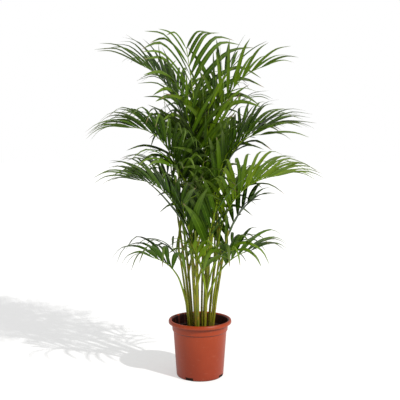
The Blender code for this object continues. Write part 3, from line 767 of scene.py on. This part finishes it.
def between(one, two, dice):
    """A leaflet halfway between two neighbours, a little loose."""
    spots = [a.lerp(b, 0.5) for a, b in zip(one[0], two[0])]
    ups = [(a + b).normalized() for a, b in zip(one[1], two[1])]
    length = (spots[3] - spots[0]).length
    for step, ease in LOOSENESS:
        loose = Vector((dice.uniform(-1, 1), dice.uniform(-1, 1), dice.uniform(-1, 0.6)))
        spots[step] = spots[step] + loose * ease * length
    return spots, ups, (one[2] + two[2]) / 2, (one[3] + two[3]) / 2


def sheath(foot, height):
    """Two spots and half widths inside the cane that a stalk grows from."""
    name = min(canes, key=lambda one: (cane_at(one, height)[0] - foot).length)
    found = [cane_at(name, height - depth) for depth in SHEATH_DEPTHS]
    halves = [half * share for (_, half), share in zip(found, SHEATH_SHARES)]
    return [spot for spot, _ in found], halves


def frond_guides(name, number):
    dice = random.Random(number)
    spots, beside = joined(name)
    found, used = plain_leaflets(spots, beside)
    rings = [section(spots, ring) for ring in rings_of(spots, beside, used, 3) if len(ring) == 3]
    middles = [middle for middle, _, _ in rings]
    guides = Guides()
    fresh = FRESH_FRONDS.get(name, FRESHNESS[name.split("_")[1]]) + dice.uniform(-0.08, 0.08)
    wrap, wrap_halves = sheath(middles[0], middles[0].z)
    stalk = wrap + middles[1:]
    halves = wrap_halves + [half for _, _, half in rings[1:]]
    ups = [rings[0][1]] * 2 + [up for _, up, _ in rings[1:]]
    guides.add(stalk, halves, ups, stalk=1, tone=dice.random(), fresh=fresh)
    rows = {True: [], False: []}
    for parts in found:
        line = leaflet_line(spots, parts, middles)
        ring = rings[line[3]]
        ahead = middles[min(line[3] + 1, len(middles) - 1)] - middles[max(line[3] - 1, 0)]
        left = (line[0][1] - line[0][0]).dot(ring[1].cross(ahead)) > 0
        rows[left].append(line)
    count = 0
    for row in rows.values():
        row.sort(key=lambda line: line[3])
        full = []
        for one, two in zip(row, row[1:]):
            full += [one, between(one, two, dice)] if name in CLOSE_FRONDS else [one]
        for line_spots, line_ups, half, _ in full + row[-1:]:
            tone = dice.random()
            dry = max(0.0, dice.uniform(-0.06, 0.14))
            widths = [half * width_share(name) * dice.uniform(0.85, 1.1)] * 4
            guides.add(line_spots, widths, line_ups, 0, tone, fresh + dice.uniform(-0.1, 0.1), dry)
            count += 1
    return guides, count


# %% Grow the fronds
frond_sizes = {
    "Leaflet steps": 11,
    "Stalk steps": 44,
    "Stalk sides": 10,
    "Fold": 0.30,
    "Thickness": 0.09,
    "Leaf finish": leaf_material,
    "Stalk finish": stalk_material,
}
frond_names = sorted(name for name in nodes if name.startswith("frond_"))
total = 0
for number, name in enumerate(frond_names):
    guides, count = frond_guides(name, number)
    piece = grown(name + "_fine", guides.mesh_object("guides"), feather, frond_sizes)
    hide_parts(name)
    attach(piece, "root")
    total += count
print(len(frond_names), "fronds with", total, "leaflets")

# %% [markdown]
# ## Spears
# The newest leaf of a cane stands up as a spear, its leaflets still folded tight together. It grows
# by the cane's rule with the rings turned off, and its finish shows the edges of the folded leaflets
# as fine lines that run up it.

# %% Spear finish and pieces
def spear_finish():
    spear = Finish("young_leaf", {"Specular IOR Level": 0.5})
    along = spear.read("along")
    folds = spear.cloud(160.0, 3.0, stretch=(1.0, 1.0, 0.03))
    base = spear.mix(folds, paint(92, 124, 40), paint(138, 164, 68))
    colour = spear.mix(along.rises(0.80, 1.0), base, paint(150, 156, 84))
    return spear.set(colour=colour, roughness=0.36 + folds * 0.16, bumps=folds, depth=0.0006)


spear_sizes = {
    "Steps": 60,
    "Sides": 10,
    "Ring spacing": 0.05,
    "Ring swell": 0.0,
    "Finish": spear_finish(),
}
spear_names = sorted(name for name in nodes if name.startswith("spear_"))
for number, name in enumerate(spear_names):
    middles, halves = plain_cane(name)
    guides = Guides()
    guides.add(middles, halves, [flat_y] * len(middles), stalk=1)
    piece = grown(name + "_fine", guides.mesh_object("guides"), ringed, spear_sizes)
    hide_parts(name)
    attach(piece, "root")
print("spears grown:", len(spear_names))

# %% [markdown]
# ## The pot
# The pot is thin moulded plastic the colour of clay: a tapered body, a wider collar, a folded lip and
# four drain notches where the wall meets the floor. It is a turned shape, so its outline is drawn
# once and turned by a Screw modifier in many fine steps. The outline's corners are rounded first,
# as a mould's are, and four blocks cut the notches.

# %% Outline and turning
POT_HEIGHT = 0.190
LIP_RADIUS = 0.105
COLLAR_RADIUS = 0.0930
COLLAR_FOOT = 0.1530
BODY_TOP = 0.0885
BODY_BASE = 0.0780
WALL = 0.0020
FLOOR_THICK = 0.0025


def body_radius(height):
    return BODY_BASE + (BODY_TOP - BODY_BASE) * height / COLLAR_FOOT


def rounded(outline, reach):
    """The outline with each inner corner replaced by a short bend."""
    spots = [Vector(spot) for spot in outline]
    soft = [spots[0]]
    for before, corner, after in zip(spots, spots[1:], spots[2:]):
        back = min(reach, (before - corner).length * 0.45)
        ahead = min(reach, (after - corner).length * 0.45)
        start = corner.lerp(before, back / (before - corner).length)
        end = corner.lerp(after, ahead / (after - corner).length)
        for share in (0.0, 0.33, 0.67, 1.0):
            soft.append(start.lerp(corner, share).lerp(corner.lerp(end, share), share))
    return soft + [spots[-1]]


def turned(name, outline, steps):
    """A closed turned body from an outline of (radius, height) spots."""
    mesh = bpy.data.meshes.new(name)
    mesh.from_pydata([(radius, 0.0, height) for radius, height in outline],
                     [(i, i + 1) for i in range(len(outline) - 1)], [])
    item = bpy.data.objects.new(name, mesh)
    bpy.context.scene.collection.objects.link(item)
    screw = item.modifiers.new("turn", "SCREW")
    screw.steps = steps
    screw.render_steps = steps
    screw.use_merge_vertices = True
    screw.merge_threshold = 0.00005
    return item


def settled(item, name):
    """The object's finished shape as a plain mesh object; the old one is removed."""
    graph = bpy.context.evaluated_depsgraph_get()
    mesh = bpy.data.meshes.new_from_object(item.evaluated_get(graph), depsgraph=graph)
    bpy.data.objects.remove(item)
    piece = bpy.data.objects.new(name, mesh)
    bpy.context.scene.collection.objects.link(piece)
    return piece


pot_inside = COLLAR_RADIUS - WALL
pot_outline = [
    (0.0, FLOOR_THICK),
    (body_radius(FLOOR_THICK) - WALL, FLOOR_THICK),
    (body_radius(COLLAR_FOOT) - WALL, COLLAR_FOOT - 0.001),
    (pot_inside - 0.0004, COLLAR_FOOT + 0.0022),
    (pot_inside + 0.0022, POT_HEIGHT - 0.005),
    (pot_inside + 0.0062, POT_HEIGHT),
    (LIP_RADIUS - 0.0020, POT_HEIGHT - 0.0010),
    (LIP_RADIUS, POT_HEIGHT - 0.0070),
    (LIP_RADIUS - 0.0008, POT_HEIGHT - 0.0120),
    (LIP_RADIUS - 0.0030, POT_HEIGHT - 0.0116),
    (LIP_RADIUS - 0.0038, POT_HEIGHT - 0.0060),
    (COLLAR_RADIUS + 0.0022, POT_HEIGHT - 0.0065),
    (COLLAR_RADIUS + 0.0004, POT_HEIGHT - 0.0140),
    (COLLAR_RADIUS - 0.0010, COLLAR_FOOT + 0.0012),
    (BODY_TOP + 0.0002, COLLAR_FOOT - 0.0012),
    (body_radius(0.003), 0.003),
    (BODY_BASE - 0.0024, 0.0),
    (0.0, 0.0),
]
pot = turned("pot_turned", rounded(pot_outline, 0.0016), 144)
print("pot outline:", len(pot.data.vertices), "spots")

# %% Drain notches
NOTCH_TURN = math.radians(-27.0)
NOTCH_SIZE = (0.016, 0.028, 0.022)
NOTCH_REACH = BODY_BASE + 0.0045
cutters = []
for step in range(4):
    turn = NOTCH_TURN + step * math.tau / 4
    block = bmesh.new()
    bmesh.ops.create_cube(block, size=1.0)
    bmesh.ops.scale(block, vec=NOTCH_SIZE, verts=block.verts)
    block_mesh = bpy.data.meshes.new("notch_block")
    block.to_mesh(block_mesh)
    block.free()
    cutter = bpy.data.objects.new("notch_block", block_mesh)
    cutter.location = (NOTCH_REACH * math.cos(turn), NOTCH_REACH * math.sin(turn), 0.0)
    cutter.rotation_euler = (0.0, 0.0, turn)
    bpy.context.scene.collection.objects.link(cutter)
    cut = pot.modifiers.new("notch", "BOOLEAN")
    cut.operation = "DIFFERENCE"
    cut.solver = "EXACT"
    cut.object = cutter
    cutters.append(cutter)
pot = settled(pot, "pot_fine")
for cutter in cutters:
    bpy.data.objects.remove(cutter)
pot.data.shade_smooth()
pot.data.set_sharp_from_angle(angle=math.radians(35.0))
print("pot:", len(pot.data.polygons), "faces")

# %% [markdown]
# ## Clay-coloured plastic
# The plastic is satin, with a very fine skin from the mould. Handling leaves faint scuffs and dust as paler
# marks. Painted shade makes the colour darker towards the bottom and darker still at the foot. The roughness
# changes only a little. The inside above the soil and the hollow of each drain notch are painted nearly
# black, as painted shade. These two painted shades are masks on how far a point lies from the middle line and
# how high it is.

# %% Pot finish
INNER_SLOPE = 0.09
INNER_REACH = (0.0772, 0.0779)
INNER_FROM = (0.150, 0.153)
HOLLOW_REACH = (0.0766, 0.0772)
HOLLOW_TOP = (0.012, 0.014)


def pot_finish():
    plastic = Finish("terracotta_plastic", {"Specular IOR Level": 0.32})
    height = plastic.height()
    grain = plastic.cloud(900.0, 2.0)
    blotch = plastic.cloud(14.0, 3.0)
    scuff = plastic.cloud(46.0, 6.0, stretch=(1.0, 1.0, 2.5)).rises(0.60, 0.72)
    # Painted shade: the plastic is darker towards the bottom.
    body = plastic.mix(height.rises(0.0, 0.17), paint(128, 40, 4), paint(146, 52, 12))
    colour = plastic.mix(blotch.rises(0.4, 0.7) * 0.35, body, paint(150, 56, 22))
    colour = plastic.mix(scuff * 0.10, colour, paint(190, 120, 96))
    # Painted shade: a darker band at the foot, within 12 mm of the floor.
    colour = plastic.mix((1 - height.rises(0.0, 0.012)) * 0.4, colour, paint(96, 34, 16))
    # Painted shade: the inside wall above the soil is painted dark red-brown, as shade in the pot's mouth.
    wall = plastic.reach() - height * INNER_SLOPE
    inner = (1 - wall.rises(*INNER_REACH)) * height.rises(*INNER_FROM)
    colour = plastic.mix(inner, colour, paint(58, 20, 12))
    # Painted shade: the hollow of each drain notch is painted nearly black.
    painted_notch_shade = (1 - plastic.reach().rises(*HOLLOW_REACH)) * (1 - height.rises(*HOLLOW_TOP))
    colour = plastic.mix(painted_notch_shade, colour, paint(22, 14, 10))
    roughness = 0.34 + blotch * 0.10 + scuff * 0.10
    return plastic.set(colour=colour, roughness=roughness, bumps=grain * 0.5 + blotch * 0.5, depth=0.0002)


pot.data.materials.clear()
pot.data.materials.append(pot_finish())
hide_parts("pot")
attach(pot, "root")

# %% [markdown]
# ## Potting soil
# The pot is filled to the foot of the collar with dark, crumbly peat. Its top is turned like the pot,
# with many rings, and then each spot is lifted or sunk by noise. Loose crumbs are scattered over it
# by Geometry Nodes, each a small rough lump of twenty faces, turned and sized by chance.

# %% Turn and roughen the soil
SOIL_EDGE = 0.1540
SOIL_CROWN = 0.1590
SOIL_RADIUS = BODY_TOP - WALL - 0.0012
SOIL_RINGS = 30
LUMP_SCALE = 60.0
LUMP_HEIGHT = 0.0022
soil_outline = [
    (SOIL_RADIUS * ring / SOIL_RINGS, SOIL_CROWN - (SOIL_CROWN - SOIL_EDGE) * (ring / SOIL_RINGS) ** 2)
    for ring in range(SOIL_RINGS + 1)
]
soil_outline += [
    (body_radius(0.120) - WALL - 0.0006, 0.120),
    (body_radius(0.006) - WALL - 0.0006, 0.0065),
    (body_radius(0.003) - WALL - 0.0040, FLOOR_THICK + 0.0003),
    (0.0, FLOOR_THICK + 0.0003),
]
soil = settled(turned("soil_turned", soil_outline, 120), "soil_fine")
for vert in soil.data.vertices:
    reach = math.hypot(vert.co.x, vert.co.y)
    if vert.co.z > SOIL_EDGE - 0.001 and reach < SOIL_RADIUS - 0.001:
        lump = noise.fractal(vert.co * LUMP_SCALE, 1.0, 2.0, 4)
        vert.co.z += LUMP_HEIGHT * lump
soil.data.shade_smooth()
print("soil:", len(soil.data.polygons), "faces")

# %% Soil finish
def soil_finish():
    peat = Finish("potting_soil", {"Specular IOR Level": 0.2})
    clod = peat.cloud(110.0, 6.0)
    fleck = peat.cloud(420.0, 2.0).rises(0.60, 0.68)
    colour = peat.mix(clod, paint(20, 10, 6), paint(62, 36, 24))
    colour = peat.mix(fleck * 0.5, colour, paint(112, 78, 50))
    return peat.set(colour=colour, roughness=0.85 + clod * 0.1, bumps=clod, depth=0.004)


soil_material = soil_finish()
soil.data.materials.clear()
soil.data.materials.append(soil_material)

# %% Scatter the crumbs
CRUMB_SEED = 7
CRUMB_SHAPE = {"X": 1.3, "Y": 1.0, "Z": 0.7}


def crumb_rule():
    inputs = {
        "Crumbs per square metre": "Float",
        "Smallest": "Float",
        "Largest": "Float",
        "Finish": "Material",
    }
    tree, rule, given = new_rule("soil_crumbs", inputs)
    facing = rule.add("GeometryNodeInputNormal").outputs[0]
    lift = rule.field("ShaderNodeSeparateXYZ", None, {"Vector": facing}, output="Z")
    place = rule.add("GeometryNodeInputPosition").outputs[0]
    height = rule.field("ShaderNodeSeparateXYZ", None, {"Vector": place}, output="Z")
    top = lift.sum("GREATER_THAN", lift, 0.4) * height.sum("GREATER_THAN", height, 0.15)
    values = {
        "Mesh": given["Guides"],
        "Selection": top,
        "Density": given["Crumbs per square metre"],
        "Seed": CRUMB_SEED,
    }
    points = rule.add("GeometryNodeDistributePointsOnFaces", None, values)
    lump = rule.add("GeometryNodeMeshIcoSphere", None, {"Radius": 1.0, "Subdivisions": 1}).outputs[0]
    size = rule.add("FunctionNodeRandomValue", {"data_type": "FLOAT"})
    rule.give(size.inputs[2], given["Smallest"])
    rule.give(size.inputs[3], given["Largest"])
    size_socket = next(socket for socket in size.outputs if socket.enabled)
    flat = rule.add("ShaderNodeCombineXYZ", None, CRUMB_SHAPE).outputs[0]
    scale = rule.add("ShaderNodeVectorMath", {"operation": "SCALE"}, {0: flat, "Scale": size_socket})
    turn = rule.add("FunctionNodeRandomValue", {"data_type": "FLOAT_VECTOR"})
    turn.inputs[1].default_value = (math.tau, math.tau, math.tau)
    turn_socket = next(socket for socket in turn.outputs if socket.enabled)
    values = {
        "Points": points.outputs["Points"],
        "Instance": lump,
        "Rotation": turn_socket,
        "Scale": scale.outputs[0],
    }
    crumbs = rule.add("GeometryNodeInstanceOnPoints", None, values).outputs[0]
    values = {"Geometry": crumbs, "Material": given["Finish"]}
    end_rule(rule, rule.add("GeometryNodeSetMaterial", None, values).outputs[0])
    return tree


crumb_sizes = {
    "Crumbs per square metre": 42000.0,
    "Smallest": 0.0007,
    "Largest": 0.0024,
    "Finish": soil_material,
}
ground = bpy.data.objects.new("ground", soil.data.copy())
bpy.context.scene.collection.objects.link(ground)
crumbs = grown("soil_crumbs", ground, crumb_rule(), crumb_sizes)
print("crumbs:", len(crumbs.data.polygons) // 20)
for piece in (soil, crumbs):
    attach(piece, "root")
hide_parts("soil")
